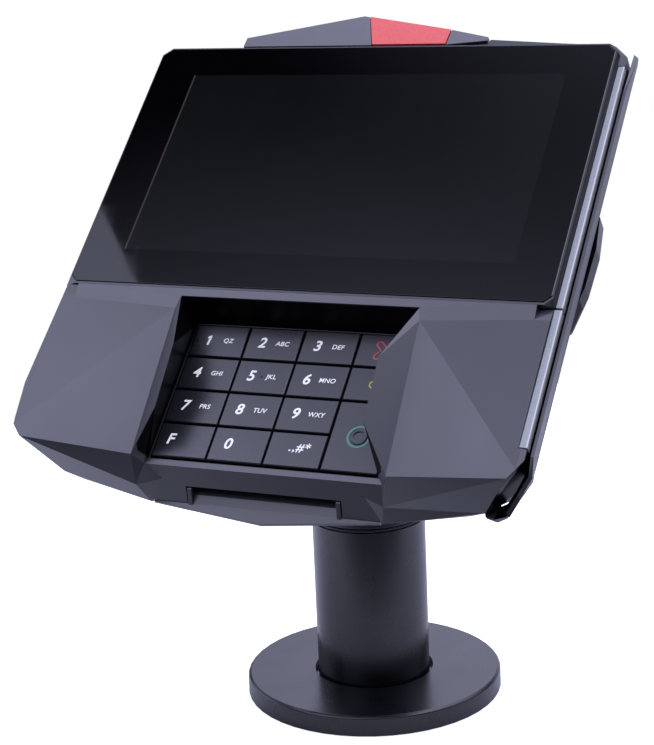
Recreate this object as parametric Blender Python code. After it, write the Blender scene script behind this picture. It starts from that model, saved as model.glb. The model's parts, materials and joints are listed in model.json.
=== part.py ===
"""A card payment terminal on a swivel pole: a tilting head with an 8-inch class screen, a keypad between
two raised shields, a chip-card mouth, a swipe channel, and a pole on a round counter base.

World frame: metres, +Z up, the customer looks along +Y, origin under the pole at the counter.
Head frame: x to the right, y up the screen, z out of the glass, origin at the centre of the glass.
Lengths below are in millimetres and are scaled by MM where a mesh is made.
"""

import math

import bmesh
import bpy
from mathutils import Matrix, Vector

MM = 0.001
GAP = 0.3                       # clearance between two pieces that touch
SEGMENTS = 48                   # facets round the large turned pieces
SMALL_SEGMENTS = 20             # facets round screws and bolts

# Pose of the head on the stand
HEAD_TILT = math.radians(42.6)  # screen plane above the horizontal
GLASS_CENTRE = Vector((0.0, -15.5, 238.7))
PIVOT_DEPTH = 52.0              # tilt axis behind the glass surface
PIVOT_Y, PIVOT_Z = 0.0, 182.3   # tilt axis, straight above the pole

# Screen half of the head
GLASS_HALF_X, GLASS_HALF_Y, GLASS_T = 105.4, 65.1, 1.8
GLASS_CHAMFER_TOP, GLASS_CHAMFER_LOW = 3.9, 3.1
SCREEN_X, SCREEN_Y = 0.8, 0.7               # centre of the lit area
SCREEN_HALF_X, SCREEN_HALF_Y = 86.1, 48.5
BODY_LEFT, BODY_RIGHT = -108.3, 109.8       # outer side walls; the right one is the inner channel wall
BACK_RIGHT = 106.6                          # right wall below the channel's floor
BEZEL_TOP, BEZEL_LOW = 66.2, -66.3
BEZEL_BACK = -13.0                          # parting line of the screen half

# Keypad half of the head
KEYPAD_X = 1.6                              # keypad and card mouth sit right of the screen's centre
KEY_PITCH_X, KEY_PITCH_Y = 24.4, 15.95
KEY_GAP = 0.9
KEYS_TOP_Y = -73.6                          # upper edge of the first key row
KEY_FACE = -15.2                            # key tops below the glass
KEY_CAP_T, KEY_STEM_T = 2.8, 3.0
KEY_TRAVEL = 1.2
FRONT_TOP = -66.6                           # upper edge of the keypad fascia
FRONT_BACK = -23.0                          # parting line of the keypad half
LIP_BACK = -30.0                            # lowest point of the fascia at the card mouth
LIP_TOP = -29.5                             # parting line between the fascia and the mouth's lower lip

# Swipe channel on the right edge
RAIL_IN, RAIL_OUT = 111.3, 112.9
CHANNEL_FRONT, CHANNEL_FLOOR, CHANNEL_FOOT = -3.0, -13.3, -16.0
RAIL_TOP, RAIL_LOW = 62.0, -131.0
GUIDE_IN, GUIDE_FRONT, GUIDE_BACK = 106.9, -2.5, -6.2
GUIDE_TOP, GUIDE_LOW = 55.2, -127.8

# Stand
BASE_R_TOP, BASE_R_LOW, BASE_H = 56.0, 57.0, 9.4
BASE_HOLE_R = 26.4
POLE_R, POLE_WALL = 25.05, 2.6
POLE_TOP = 80.0
SWIVEL_TOP = 148.0
SPIGOT_R = 20.2
YOKE_IN, YOKE_OUT = 14.3, 19.8              # inner and outer faces of a yoke arm
KNUCKLE_R, BOLT_R = 11.0, 4.0
KNUCKLE_HALF_X = 12.6

MATERIALS = {
    "case_grey": ((0.085, 0.088, 0.108), 0.55, 0.0),
    "case_black": ((0.012, 0.012, 0.014), 0.35, 0.0),
    "screen_glass": ((0.006, 0.006, 0.008), 0.06, 0.0),
    "display": ((0.010, 0.011, 0.013), 0.25, 0.0),
    "key_grey": ((0.050, 0.052, 0.062), 0.50, 0.0),
    "light_guide": ((0.62, 0.64, 0.80), 0.25, 0.0),
    "lamp_red": ((0.80, 0.10, 0.11), 0.40, 0.0),
    "circuit_green": ((0.02, 0.12, 0.05), 0.50, 0.0),
    "silicone": ((0.020, 0.020, 0.022), 0.80, 0.0),
    "steel": ((0.45, 0.45, 0.47), 0.35, 1.0),
    "stand_black": ((0.022, 0.022, 0.027), 0.48, 0.0),
    "nylon": ((0.015, 0.015, 0.016), 0.60, 0.0),
    "rubber": ((0.010, 0.010, 0.010), 0.85, 0.0),
}


# ---------------------------------------------------------------- tools

def clear_scene():
    for obj in list(bpy.data.objects):
        bpy.data.objects.remove(obj)


def material(name):
    made = bpy.data.materials.get(name)
    if made is None:
        colour, roughness, metallic = MATERIALS[name]
        made = bpy.data.materials.new(name)
        made.use_nodes = True
        shader = made.node_tree.nodes["Principled BSDF"]
        shader.inputs["Base Color"].default_value = (*colour, 1.0)
        shader.inputs["Roughness"].default_value = roughness
        shader.inputs["Metallic"].default_value = metallic
    return made


def empty(name, location, rotation=0.0):
    """An empty at a place in millimetres, turned about X."""
    made = bpy.data.objects.new(name, None)
    bpy.context.scene.collection.objects.link(made)
    made.location = Vector(location) * MM
    made.rotation_euler = (rotation, 0.0, 0.0)
    return made


def solid(name, verts, faces, finish=None, parent=None, origin=(0, 0, 0)):
    """A closed mesh from points in millimetres, with its object's origin at the given point."""
    mesh = bpy.data.meshes.new(name)
    bm = bmesh.new()
    points = [bm.verts.new((Vector(v) - Vector(origin)) * MM) for v in verts]
    for face in faces:
        bm.faces.new([points[i] for i in face])
    bmesh.ops.recalc_face_normals(bm, faces=bm.faces)
    bm.to_mesh(mesh)
    bm.free()
    obj = bpy.data.objects.new(name, mesh)
    bpy.context.scene.collection.objects.link(obj)
    obj.parent = parent
    obj.location = Vector(origin) * MM
    if finish:
        mesh.materials.append(material(finish))
    return obj


def loft(name, rings, finish=None, parent=None, origin=(0, 0, 0)):
    """Rings of equal count, joined side by side and closed with a flat cap at each end."""
    count = len(rings[0])
    verts = [point for ring in rings for point in ring]
    faces = [tuple(range(count))]
    for level in range(len(rings) - 1):
        low, high = level * count, (level + 1) * count
        for i in range(count):
            j = (i + 1) % count
            faces.append((low + i, low + j, high + j, high + i))
    faces.append(tuple(range(len(verts) - count, len(verts))))
    return solid(name, verts, faces, finish, parent, origin)


def at_height(outline, z):
    return [(x, y, z) for x, y in outline]


def prism(name, outline, low, high, finish=None, parent=None, origin=(0, 0, 0)):
    return loft(name, [at_height(outline, low), at_height(outline, high)], finish, parent, origin)


def rectangle(x0, x1, y0, y1):
    return [(x0, y0), (x1, y0), (x1, y1), (x0, y1)]


def chamfered(half_x, low, high, cut_low, cut_high, centre_x=0.0):
    """A rectangle with cut corners, anticlockwise from the lower left."""
    left, right = centre_x - half_x, centre_x + half_x
    return [
        (left + cut_low, low), (right - cut_low, low), (right, low + cut_low), (right, high - cut_high),
        (right - cut_high, high), (left + cut_high, high), (left, high - cut_high), (left, low + cut_low),
    ]


def block(name, x0, x1, y0, y1, z0, z1, finish=None, parent=None, origin=(0, 0, 0)):
    return prism(name, rectangle(x0, x1, y0, y1), z0, z1, finish, parent, origin)


def turned(name, profile, segments, finish=None, parent=None, origin=(0, 0, 0), along="Z"):
    """A closed (radius, height) outline turned round an axis through origin. It may not touch the axis."""
    turn = {"Z": Matrix.Identity(3), "X": Matrix.Rotation(math.pi / 2, 3, "Y"),
            "Y": Matrix.Rotation(-math.pi / 2, 3, "X")}[along]
    verts = []
    for i in range(segments):
        angle = 2 * math.pi * i / segments
        for r, h in profile:
            verts.append(turn @ Vector((r * math.cos(angle), r * math.sin(angle), h)) + Vector(origin))
    count = len(profile)
    faces = []
    for i in range(segments):
        here, after = i * count, (i + 1) % segments * count
        for k in range(count):
            m = (k + 1) % count
            faces.append((here + k, after + k, after + m, here + m))
    return smooth(solid(name, verts, faces, finish, parent, origin))


def rod(name, radii, segments, finish=None, parent=None, origin=(0, 0, 0), along="Z"):
    """A solid of (radius, height) steps round an axis through origin, such as a screw with its head."""
    turn = {"Z": Matrix.Identity(3), "X": Matrix.Rotation(math.pi / 2, 3, "Y"),
            "Y": Matrix.Rotation(-math.pi / 2, 3, "X")}[along]
    rings = []
    for r, h in radii:
        ring = []
        for i in range(segments):
            angle = 2 * math.pi * i / segments
            ring.append(turn @ Vector((r * math.cos(angle), r * math.sin(angle), h)) + Vector(origin))
        rings.append(ring)
    return smooth(loft(name, rings, finish, parent, origin))


def smooth(obj):
    obj.data.shade_smooth()
    obj.data.set_sharp_from_angle(angle=math.radians(35))
    return obj


def boolean(obj, other, operation):
    modifier = obj.modifiers.new(other.name, "BOOLEAN")
    modifier.object = other
    modifier.operation = operation
    modifier.solver = "EXACT"
    other.hide_render = True
    other.display_type = "WIRE"
    return obj


def cut(obj, *cutters):
    for cutter in cutters:
        boolean(obj, cutter, "DIFFERENCE")
    return obj


def fuse(obj, *others):
    for other in others:
        boolean(obj, other, "UNION")
    return obj


def mirrored(x):
    """The same place on the other side of the keypad's centre line."""
    return 2 * KEYPAD_X - x


def depth_on(a, b, c):
    """The plane through three head-frame points, as a function that gives z at any x and y."""
    a, b, c = Vector(a), Vector(b), Vector(c)
    normal = (b - a).cross(c - a)
    return lambda x, y: a.z - (normal.x * (x - a.x) + normal.y * (y - a.y)) / normal.z


# ---------------------------------------------------------------- screen half of the head

def make_bezel(head):
    """The frame round the glass: a bevelled outer wall, a seat for the glass and a ledge behind it."""
    middle, half = (BODY_LEFT + BODY_RIGHT) / 2, (BODY_RIGHT - BODY_LEFT) / 2
    wall = chamfered(half, BEZEL_LOW, BEZEL_TOP, 0.4, 5.8, middle)
    step = [(min(x, GUIDE_IN), y)
            for x, y in chamfered(half - 0.9, BEZEL_LOW, BEZEL_TOP - 0.1, 1.2, 5.2, middle)]
    rim = chamfered(GLASS_HALF_X + 0.5, BEZEL_LOW, BEZEL_TOP - 0.4, 3.2, 4.0)
    bezel = loft("screen_bezel", [at_height(wall, BEZEL_BACK),
                                  [(x, y, -3.6 if x < 0 else -2.7) for x, y in wall],
                                  at_height(step, -2.4), at_height(rim, -0.35)], "case_grey", head)
    ridge = [(34.0, 64.8), (101.0, 64.8), (101.0, 67.0), (80.0, 68.4), (48.4, 70.9), (48.0, 68.9),
             (34.0, 66.8)]
    seat = chamfered(GLASS_HALF_X + 0.2, -GLASS_HALF_Y - 0.2, GLASS_HALF_Y + 0.2,
                     GLASS_CHAMFER_LOW, GLASS_CHAMFER_TOP)
    window = rectangle(SCREEN_X - 92.5, SCREEN_X + 92.5, -55.0, 56.0)
    fuse(bezel, prism("join_top_ridge", ridge, -8.6, -2.6, None, head))
    return cut(
        bezel,
        prism("cut_glass_seat", seat, -GLASS_T - GAP, 2.0, None, head),
        prism("cut_screen_window", window, -5.0, 2.0, None, head),
        block("cut_bezel_cavity", -104.6, 104.6, -63.6, 63.6, -16.0, -4.0, None, head),
        block("cut_bezel_groove", GUIDE_IN - 0.05, BODY_RIGHT + 2, -68.0, GUIDE_TOP + GAP, GUIDE_BACK - GAP,
              3.0, None, head),
    )


def make_glass(head):
    outline = chamfered(GLASS_HALF_X, -GLASS_HALF_Y, GLASS_HALF_Y, GLASS_CHAMFER_LOW, GLASS_CHAMFER_TOP)
    return prism("touch_glass", outline, -GLASS_T, 0.0, "screen_glass", head)


def make_display(head):
    x0, x1 = SCREEN_X - SCREEN_HALF_X - 3.4, SCREEN_X + SCREEN_HALF_X + 3.4
    y0, y1 = SCREEN_Y - SCREEN_HALF_Y - 3.6, SCREEN_Y + SCREEN_HALF_Y + 3.0
    return block("display_panel", x0, x1, y0, y1, -6.6, -GLASS_T - GAP, "display", head)


def make_antenna(head):
    """The contactless loop, a flat frame between the display and the bezel's ledge."""
    loop = prism("contactless_antenna", chamfered(103.8, -62.8, 62.8, 4.0, 4.0), -7.8, -7.0,
                 "circuit_green", head)
    return cut(loop, block("cut_antenna_loop", -97.0, 97.0, -57.5, 57.5, -9.0, -6.0, None, head))


def make_main_board(head):
    return prism("main_board", chamfered(98.0, -60.0, 58.0, 3.0, 3.0), -11.6, -10.0, "circuit_green", head)


def make_battery(head):
    return rod("backup_battery", [(10.0, -15.2), (10.0, -12.2), (9.2, -11.9)], 28, "steel", head,
               (-60.0, 30.0, 0.0))


def make_speaker(head):
    return rod("speaker", [(9.0, -16.2), (14.0, -15.0), (14.0, -12.0)], 28, "case_black", head,
               (60.0, 28.0, 0.0))


# ---------------------------------------------------------------- keypad half of the head

def fascia_points():
    """Corners of the faceted keypad fascia. L is the left of a pair and R its mirror image."""
    points = {
        "recess_top": (KEYPAD_X - 52.2, -70.0, -0.7),
        "apex": (KEYPAD_X - 53.3, -75.6, -1.4),
        "shield_high": (KEYPAD_X - 44.1, -97.3, 4.8),
        "shield_low": (KEYPAD_X - 44.3, -124.2, 0.9),
        "shield_end": (KEYPAD_X - 49.9, -138.6, -13.6),
        "ridge_end": (KEYPAD_X - 54.3, -140.3, -10.2),
        "chin_top": (KEYPAD_X - 50.9, -140.5, -16.6),
        "mouth": (KEYPAD_X - 43.5, -143.9, -21.5),
        "belly": (KEYPAD_X - 50.0, -150.0, LIP_BACK),
        "floor_top": (KEYPAD_X - 49.6, -72.8, -16.3),
        "floor_low": (KEYPAD_X - 49.6, -138.3, -16.3),
    }
    both = {}
    for name, (x, y, z) in points.items():
        both[name + "_L"] = (x, y, z)
        both[name + "_R"] = (mirrored(x), y, z)
    both.update({
        "strip_high_L": (-100.4, FRONT_TOP, 0.0), "strip_high_R": (100.4, FRONT_TOP, 0.0),
        "strip_low_L": (-100.4, -72.8, -1.2), "strip_low_R": (100.4, -72.8, -1.2),
        "corner_L": (-105.7, -135.4, -2.6), "corner_R": (107.4, -137.0, -2.7),
        "heel_L": (-101.6, -140.0, -3.75), "heel_R": (104.4, -140.4, -3.75),
        "chin_corner_L": (-51.4, -148.7, -19.4), "chin_corner_R": (52.6, -146.3, -23.3),
        "wall_high_L": (-108.4, FRONT_TOP, -4.0), "wall_high_R": (BODY_RIGHT, FRONT_TOP, -3.2),
        "wall_low_L": (-109.6, -114.5, -4.4), "wall_low_R": (BODY_RIGHT - 0.2, -132.6, -3.4),
        "bilge_L": (-87.9, -143.9, FRONT_BACK), "bilge_R": (92.8, -145.0, FRONT_BACK),
        "back_high_L": (-108.4, FRONT_TOP, LIP_BACK), "back_high_R": (BODY_RIGHT, FRONT_TOP, LIP_BACK),
        "back_low_L": (-108.4, -127.0, LIP_BACK), "back_low_R": (BACK_RIGHT, -129.0, LIP_BACK),
        "back_heel_L": (-82.0, -143.0, LIP_BACK), "back_heel_R": (85.0, -143.0, LIP_BACK),
    })
    for side, edge, notch in (("_L", -106.2, -100.4), ("_R", 109.2, 100.4)):
        plane = depth_on(both["strip_low" + side], both["apex" + side], both["corner" + side])
        both["shoulder" + side] = (edge, FRONT_TOP, plane(edge, FRONT_TOP) - (0.4 if side == "_L" else 1.4))
        both["notch" + side] = (notch, FRONT_TOP, -1.0 if side == "_L" else -3.4)
        both["edge" + side] = (edge, -72.8, plane(edge, -72.8))
    return both


SIDE_FACES = [
    # the strip under the glass, its cut end, and the flat shoulder outside it
    ("strip_high", "strip_low", "apex", "recess_top"),
    ("strip_high", "notch", "strip_low"),
    ("notch", "shoulder", "strip_low"),
    ("shoulder", "edge", "strip_low"),
    # the wing: an upper facet and a lower one that falls away towards the card mouth
    ("strip_low", "edge", "apex"),
    ("edge", "corner", "apex"),
    ("apex", "corner", "ridge_end"),
    ("corner", "heel", "ridge_end"),
    # the shield that rises from the wing's ridge and leans over the keys
    ("recess_top", "apex", "shield_high"),
    ("apex", "ridge_end", "shield_high"),
    ("ridge_end", "shield_low", "shield_high"),
    ("ridge_end", "shield_end", "shield_low"),
    # the shield's inner wall, down to the keypad floor
    ("recess_top", "shield_high", "floor_top"),
    ("shield_high", "floor_low", "floor_top"),
    ("shield_high", "shield_low", "floor_low"),
    ("shield_low", "shield_end", "floor_low"),
    ("shield_end", "chin_top", "floor_low"),
    ("shield_end", "ridge_end", "chin_top"),
    # the front below the wing
    ("ridge_end", "chin_corner", "chin_top"),
    ("heel", "chin_corner", "ridge_end"),
    ("heel", "bilge", "chin_corner"),
    ("bilge", "belly", "chin_corner"),
    ("bilge", "back_heel", "belly"),
    ("chin_top", "chin_corner", "mouth"),
    ("chin_corner", "belly", "mouth"),
    # bevel and outer wall
    ("shoulder", "wall_high", "edge"),
    ("wall_high", "wall_low", "edge"),
    ("edge", "wall_low", "corner"),
    ("corner", "wall_low", "heel"),
    ("wall_low", "bilge", "heel"),
    ("wall_low", "back_low", "bilge"),
    ("back_low", "back_heel", "bilge"),
    ("wall_high", "back_high", "wall_low"),
    ("back_high", "back_low", "wall_low"),
]
CENTRE_FACES = [
    ("strip_high_L", "recess_top_L", "recess_top_R", "strip_high_R"),
    ("recess_top_L", "floor_top_L", "floor_top_R", "recess_top_R"),
    ("floor_top_L", "floor_low_L", "floor_low_R", "floor_top_R"),
    ("floor_low_L", "chin_top_L", "chin_top_R", "floor_low_R"),
    ("chin_top_L", "mouth_L", "mouth_R", "chin_top_R"),
    ("mouth_L", "belly_L", "belly_R", "mouth_R"),
    ("back_high_L", "back_low_L", "back_heel_L", "belly_L", "belly_R", "back_heel_R", "back_low_R",
     "back_high_R"),
    ("strip_high_L", "notch_L", "shoulder_L", "wall_high_L", "back_high_L",
     "back_high_R", "wall_high_R", "shoulder_R", "notch_R", "strip_high_R"),
]


def wing_cavity(head, side):
    """The hollow under a wing, 2.6 mm behind its facets and open at the back."""
    p = fascia_points()
    skin = 2.6
    upper = depth_on(p["strip_low" + side], p["apex" + side], p["corner" + side])
    lower = depth_on(p["apex" + side], p["corner" + side], p["ridge_end" + side])
    out, inn = (-105.6, -57.0) if side == "_L" else (104.4, 60.2)
    heel = -98.0 if side == "_L" else 100.0
    plan = [(out, -69.4, upper), (inn, -69.4, upper), (inn, -136.6, lower), (heel, -136.6, lower),
            (out, -129.0, upper)]
    top = [(x, y, plane(x, y) - skin) for x, y, plane in plan]
    low = [(x, y, LIP_BACK - 2) for x, y, _ in plan]
    faces = [(5, 6, 7, 8, 9), (0, 1, 4), (1, 3, 4), (1, 2, 3)]
    faces += [(i, (i + 1) % 5, (i + 1) % 5 + 5, i + 5) for i in range(5)]
    return solid("cut_wing" + side, top + low, faces, None, head)


def make_fascia(head):
    points = fascia_points()
    names = list(points)
    faces = [[name + side for name in face] for face in SIDE_FACES for side in ("_L", "_R")]
    faces = [[names.index(name) for name in face] for face in faces + [list(f) for f in CENTRE_FACES]]
    fascia = solid("keypad_fascia", [points[name] for name in names], faces, "case_grey", head)
    left, right = KEYPAD_X - 49.2, KEYPAD_X + 49.2
    back_plan = [(-112, -60), (-112, -134.0), (-95, -134.0), (-80, -141.2), (KEYPAD_X - 50, -143.5),
                 (KEYPAD_X + 50, -143.5), (83, -141.2), (97, -135.0), (112, -135.0), (112, -60)]
    return cut(
        fascia,
        block("cut_keypad_opening", left, right, -137.9, -73.2, -32, -12, None, head),
        wing_cavity(head, "_L"),
        wing_cavity(head, "_R"),
        prism("cut_fascia_back", back_plan, -40, FRONT_BACK, None, head),
        block("cut_card_mouth", KEYPAD_X - 33.4, KEYPAD_X + 33.4, -156, -136, -40, -23.4, None, head),
        block("cut_lip_space", KEYPAD_X - 49.0, KEYPAD_X + 49.0, -156, -136, -40, LIP_TOP + GAP, None,
              head),
        block("cut_fascia_groove", GUIDE_IN - 0.35, BODY_RIGHT + 2, GUIDE_LOW - GAP, -60, GUIDE_BACK - GAP,
              3.0, None, head),
        block("cut_channel_foot", BACK_RIGHT, BODY_RIGHT + 3, -140, -60, -40, CHANNEL_FLOOR + GAP, None,
              head),
    )


def make_card_lip(head):
    """The lower jaw of the card mouth: a V-fronted shelf, a tongue sloping to its front, two guide fins."""
    half = [(46.0, -138.4), (46.0, -143.6), (48.7, -143.6), (48.7, -150.0), (0.0, -155.6)]
    outline = [(KEYPAD_X + x, y) for x, y in half] + [(KEYPAD_X - x, y) for x, y in reversed(half[:-1])]
    lip = loft("card_slot_lip", [at_height([(x, y * 0.997) for x, y in outline], -31.6),
                                 at_height(outline, -31.0), at_height(outline, LIP_TOP)], "case_grey", head)
    left, right = KEYPAD_X - 33.1, KEYPAD_X + 33.1
    profile = ((-138.6, -30.0), (-138.6, -28.1), (-146.0, -28.4), (-151.2, -30.0))
    tongue = loft("join_tongue", [[(x, y, z) for y, z in profile] for x in (left, right)], None, head)
    fuse(lip, tongue)
    for index, side in enumerate((-1, 1)):
        x = KEYPAD_X + side * 32.0
        fin = loft("join_fin_%d" % index, [at_height(rectangle(x - 0.9, x + 0.9, front, -139.0), z)
                                           for front, z in ((-150.4, -29.8), (-146.0, -24.2))], None, head)
        fuse(lip, fin)
    return lip


def make_card_reader(head):
    body = block("card_reader_body", KEYPAD_X - 31, KEYPAD_X + 31, -137.9, -84, -30.4, -26.4, "case_black",
                 head)
    slot = block("cut_card_slot", KEYPAD_X - 27.3, KEYPAD_X + 27.3, -140, -90, -28.6, -27.3, None, head)
    contacts = block("cut_contact_window", KEYPAD_X - 8, KEYPAD_X + 8, -112, -98, -27.4, -26, None, head)
    cut(body, slot, contacts)
    block("card_contacts", KEYPAD_X - 7.6, KEYPAD_X + 7.6, -111.6, -98.4, -27.1, -26.15, "steel", head)
    return body


# ---------------------------------------------------------------- keys

KEY_ROWS = [
    ["key_1", "key_2", "key_3", "key_cancel"],
    ["key_4", "key_5", "key_6", "key_clear"],
    ["key_7", "key_8", "key_9", "key_enter"],
    ["key_function", "key_0", "key_symbols", None],
]


def key_places():
    """Name, centre and half sizes of each key. The enter key covers two rows."""
    for row, names in enumerate(KEY_ROWS):
        for column, name in enumerate(names):
            if name is None:
                continue
            rows = 2 if name == "key_enter" else 1
            x = KEYPAD_X + (column - 1.5) * KEY_PITCH_X
            y = KEYS_TOP_Y - (row + rows / 2) * KEY_PITCH_Y
            yield name, x, y, (KEY_PITCH_X - KEY_GAP) / 2, (rows * KEY_PITCH_Y - KEY_GAP) / 2


def make_key(head, name, x, y, half_x, half_y):
    """A cap with a bevelled edge on a narrower stem. Its origin is at the centre of its top."""
    edge = 0.35
    levels = [
        (7.0, half_y - 3.4, KEY_FACE - KEY_CAP_T - KEY_STEM_T), (7.0, half_y - 3.4, KEY_FACE - KEY_CAP_T),
        (half_x, half_y, KEY_FACE - KEY_CAP_T), (half_x, half_y, KEY_FACE - edge),
        (half_x - edge, half_y - edge, KEY_FACE),
    ]
    rings = [at_height(rectangle(x - hx, x + hx, y - hy, y + hy), z) for hx, hy, z in levels]
    return loft(name, rings, "key_grey", head, (x, y, KEY_FACE))


def make_keypad(head):
    places = list(key_places())
    for place in places:
        make_key(head, *place)
    low, high = KEYS_TOP_Y - 4 * KEY_PITCH_Y, KEYS_TOP_Y
    left, right = KEYPAD_X - 2 * KEY_PITCH_X, KEYPAD_X + 2 * KEY_PITCH_X
    guide = block("keypad_guide_plate", left, right, low + 0.2, high, -21.0, -19.6, "case_black", head)
    for name, x, y, _, half_y in places:
        cut(guide, block("cut_" + name, x - 7.5, x + 7.5, y - half_y + 2.9, y + half_y - 2.9, -23, -18,
                         None, head))
    mat = block("keypad_mat", left, right, low + 1.6, high, -24.0, -23.0, "silicone", head)
    for name, x, y, _, half_y in places:
        dome = loft("join_dome_" + name,
                    [at_height(rectangle(x - 5, x + 5, y - half_y + 4, y + half_y - 4), -23.4),
                     at_height(rectangle(x - 3.5, x + 3.5, y - half_y + 5, y + half_y - 5),
                               -22.5)], None, head)
        fuse(mat, dome)
    block("keypad_board", left, right, low + 1.6, high, -25.9, -24.3, "circuit_green", head)


# ---------------------------------------------------------------- swipe channel

def make_swipe_rail(head):
    """The outer wall and floor of the swipe channel, lofted from its flared top to its exit round the corner,
    where a sill runs on under the fascia.

    Each ring runs: foot inside, foot outside, belly, outer lip, inner lip, lip bevel, floor outside,
    floor inside.
    """
    root = BACK_RIGHT + GAP

    def straight(y, lean=0.0):
        return [(root, y, CHANNEL_FOOT), (109.2, y, CHANNEL_FOOT), (112.1 + lean * 0.3, y, -9.8),
                (RAIL_OUT + lean, y - lean, CHANNEL_FRONT - lean * 0.7),
                (RAIL_IN + 0.4 + lean * 0.5, y, CHANNEL_FRONT),
                (RAIL_IN + lean * 0.5, y, CHANNEL_FRONT - 0.8), (RAIL_IN - 0.1, y, CHANNEL_FLOOR),
                (root, y, CHANNEL_FLOOR)]

    exit_rings = [
        [(107.2, -133.4, -16.5), (110.5, -134.6, -15.5), (112.2, -136.4, -11.0), (113.0, -137.6, -6.8),
         (111.7, -137.3, -6.2), (111.2, -136.9, -6.8), (110.8, -135.6, -13.6), (107.2, -133.4, -14.0)],
        [(104.2, -137.3, -20.0), (106.4, -141.2, -18.0), (107.4, -142.5, -15.6), (108.3, -143.5, -12.8),
         (107.1, -141.9, -12.2), (106.6, -141.0, -12.6), (105.8, -140.0, -16.5), (104.2, -137.3, -18.0)],
        [(99.0, -142.6, -25.6), (101.2, -144.4, -25.6), (102.0, -145.3, -23.6), (102.9, -146.5, -21.6),
         (101.6, -145.2, -21.0), (100.9, -144.4, -21.4), (100.0, -143.4, -23.4), (99.0, -142.6, -23.8)],
    ]
    rings = [straight(RAIL_TOP, 1.3), straight(RAIL_TOP - 20.0), straight(RAIL_LOW)] + exit_rings
    rail = loft("swipe_rail", rings, "case_grey", head)
    sill = loft("join_exit_sill", [
        [(103.2, -144.6, -20.0), (103.0, -144.2, -21.2), (101.0, -138.9, -26.2), (101.0, -138.7, -25.2)],
        [(101.4, -145.9, -22.4), (101.2, -145.2, -24.8), (98.6, -137.6, -28.6), (98.6, -137.6, -27.6)],
        [(97.2, -146.9, -23.2), (97.4, -146.7, -26.0), (94.8, -139.8, -28.9), (94.8, -139.8, -27.9)],
        [(92.9, -145.9, -24.0), (93.1, -145.8, -25.4), (90.9, -142.4, -28.7), (90.9, -142.4, -27.7)],
    ], None, head)
    return fuse(rail, sill)


def make_light_guides(head):
    """Two clear bars let into the front of the channel's inner wall, one on each half of the head."""
    block("light_guide_upper", GUIDE_IN + 0.1, BODY_RIGHT, -66.0, GUIDE_TOP, GUIDE_BACK, GUIDE_FRONT,
          "light_guide", head)
    block("light_guide_lower", GUIDE_IN - 0.2, BODY_RIGHT, GUIDE_LOW, -66.9, GUIDE_BACK, GUIDE_FRONT,
          "light_guide", head)


def make_swipe_head(head):
    return block("swipe_reader_head", 98.0, 104.2, -50.0, -36.0, -9.8, -8.1, "steel", head)


# ---------------------------------------------------------------- rear of the head

def tapered(name, outline, inset, front, back, head, finish=None):
    """A tray blank: straight walls, then a slope in to a smaller back."""
    cx = sum(x for x, _ in outline) / len(outline)
    cy = sum(y for _, y in outline) / len(outline)
    span_x = max(abs(x - cx) for x, _ in outline)
    span_y = max(abs(y - cy) for _, y in outline)
    small = [(cx + (x - cx) * (1 - inset / span_x), cy + (y - cy) * (1 - inset / span_y))
             for x, y in outline]
    middle = front + (back - front) * 0.45
    return loft(name, [at_height(small, back), at_height(outline, middle), at_height(outline, front)],
                finish, head)


def make_rear_casing(head):
    right = BACK_RIGHT - 0.2
    screen_plan = chamfered((right - BODY_LEFT) / 2, BEZEL_LOW, BEZEL_TOP, 0.4, 5.8,
                            (right + BODY_LEFT) / 2)
    block_plan = [(-104.0, -66.2), (104.0, -66.2), (107.8, -62.0), (110.8, -45.0), (111.4, -26.0),
                  (109.8, -10.6), (104.0, -6.0), (-103.0, -6.0), (-107.0, -10.6), (-107.0, -62.0)]
    key_plan = [(-107.6, -62.0), (-107.6, -125.0), (-79.6, -140.6), (KEYPAD_X - 45, -142.8),
                (KEYPAD_X + 45, -142.8), (80.6, -140.6), (104.6, -126.0), (104.6, -62.0)]
    casing = tapered("rear_casing", screen_plan, 7.0, BEZEL_BACK - GAP, -21.5, head, "case_grey")
    fuse(
        casing,
        tapered("join_rear_block", block_plan, 6.0, -18.0, -34.0, head),
        tapered("join_rear_keys", key_plan, 8.0, FRONT_BACK - GAP, -33.4, head),
    )
    return cut(
        casing,
        prism("cut_rear_screen", chamfered(103.4, -62.5, 63.0, 1.0, 4.0), -18.6, -10.0, None, head),
        prism("cut_rear_block", chamfered(98.0, -64.0, -9.0, 2.0, 3.0), -31.4, -10.0, None, head),
        prism("cut_rear_keys", [(-100.5, -60.0), (-100.5, -121.0), (-77.0, -134.0), (KEYPAD_X - 42, -136.8),
                                (KEYPAD_X + 42, -136.8), (78.0, -134.0), (99.0, -121.0), (99.0, -60.0)],
              -30.9, -20.0, None, head),
        block("cut_card_entry", KEYPAD_X - 46.4, KEYPAD_X + 46.4, -150, -130, -32.4, -20.0, None, head),
        block("cut_service_bay", -46.0, 46.0, 8.0, 44.0, -30.0, -15.0, None, head),
    )


def make_service_cover(head):
    """The plate over the sockets, with a finger notch, and its one screw."""
    cover = loft("service_cover", [at_height(rectangle(-47.0, 47.0, 7.0, 45.0), -24.6),
                                   at_height(rectangle(-49.0, 49.0, 5.0, 47.0), -21.8)], "case_grey", head)
    cut(cover, rod("cut_cover_screw", [(2.1, -30.0), (2.1, -15.0)], SMALL_SEGMENTS, None, head,
                   (0.0, 41.0, 0.0)),
        block("cut_cable_outlet", -14.0, 14.0, 3.0, 15.0, -30.0, -20.0, None, head))
    rod("service_cover_screw", [(3.6, -26.8), (3.8, -25.0), (1.8, -24.9), (1.8, -19.0)], SMALL_SEGMENTS,
        "steel", head,
        (0.0, 41.0, 0.0))
    block("data_socket", -9.0, 9.0, 20.0, 34.0, -20.6, -12.0, "steel", head)


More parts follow.
